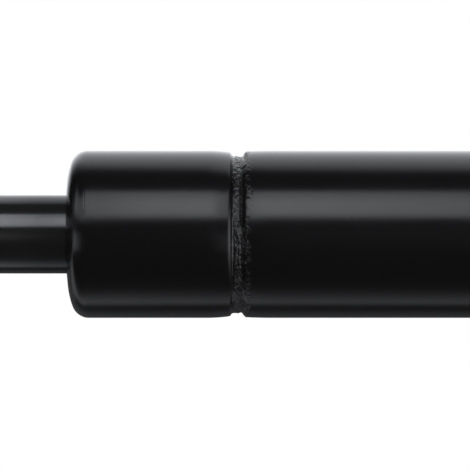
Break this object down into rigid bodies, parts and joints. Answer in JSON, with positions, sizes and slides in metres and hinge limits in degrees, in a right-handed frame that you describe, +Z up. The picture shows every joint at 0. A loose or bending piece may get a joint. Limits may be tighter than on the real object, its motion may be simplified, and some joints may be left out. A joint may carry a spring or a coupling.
{
  "type": "gas spring",
  "caption": "Gas spring with a black painted tube, a black rod, a rolled groove near the curled end, and an angled ball joint with a threaded stud at each end.",
  "frame": {"origin": "ball centre of the joint at the tube's closed end", "axes": "+X along the spring from the rod end to the tube end, +Z up, away from the ball studs, which hang down along -Z; +Y completes the right-handed frame"},
  "size_m": [0.3112, 0.0212, 0.0401],
  "materials": {
    "black_paint": "semi-gloss black paint over a drawn steel tube, scuffed in the rolled groove",
    "nitrided_steel": "black nitrided and polished rod",
    "zinc_plated": "bright zinc plating with a faint blue tint",
    "spring_steel": "drawn spring wire, zinc plated",
    "turned_steel": "turned and phosphated steel",
    "bronze": "bronze bearing liner",
    "seal_rubber": "black nitrile rubber",
    "white_plastic": "natural nylon",
    "die_cast": "die-cast zinc alloy"
  },
  "bodies": {
    "tube_stud": {"tube_ball_stud": "zinc_plated"},
    "cylinder": {"pressure_tube": "black_paint", "rod_guide": "turned_steel", "guide_bush": "bronze", "rod_seal": "seal_rubber", "seal_support_ring": "white_plastic", "end_plug": "zinc_plated", "plug_o_ring": "seal_rubber", "tube_lock_nut": "zinc_plated", "tube_ball_socket": "zinc_plated", "tube_safety_clip": "spring_steel"},
    "ring": {"piston_ring": "white_plastic"},
    "rod": {"piston_rod": "nitrided_steel", "piston_front_washer": "turned_steel", "piston": "die_cast", "orifice_disc": "turned_steel", "piston_back_washer": "turned_steel", "rod_lock_nut": "zinc_plated", "rod_ball_socket": "zinc_plated", "rod_safety_clip": "spring_steel"},
    "rod_stud": {"rod_ball_stud": "zinc_plated"}
  },
  "joints": [
    {"name": "tube_swivel", "type": "hinge", "parent": "tube_stud", "child": "cylinder", "pos_m": [0, 0, 0], "axis": [0, 0, 1], "continuous": true},
    {"name": "rod_slide", "type": "slide", "parent": "cylinder", "child": "ring", "axis": [1, 0, 0], "range_m": [0, 0.08], "stiffness_N_per_m": 400, "springref_m": -0.25},
    {"name": "rod_turn", "type": "hinge", "parent": "ring", "child": "rod", "pos_m": [-0.1424, 0, 0], "axis": [1, 0, 0], "continuous": true},
    {"name": "rod_swivel", "type": "hinge", "parent": "rod", "child": "rod_stud", "pos_m": [-0.29168, 0, 0], "axis": [0, 0, 1], "continuous": true}
  ]
}
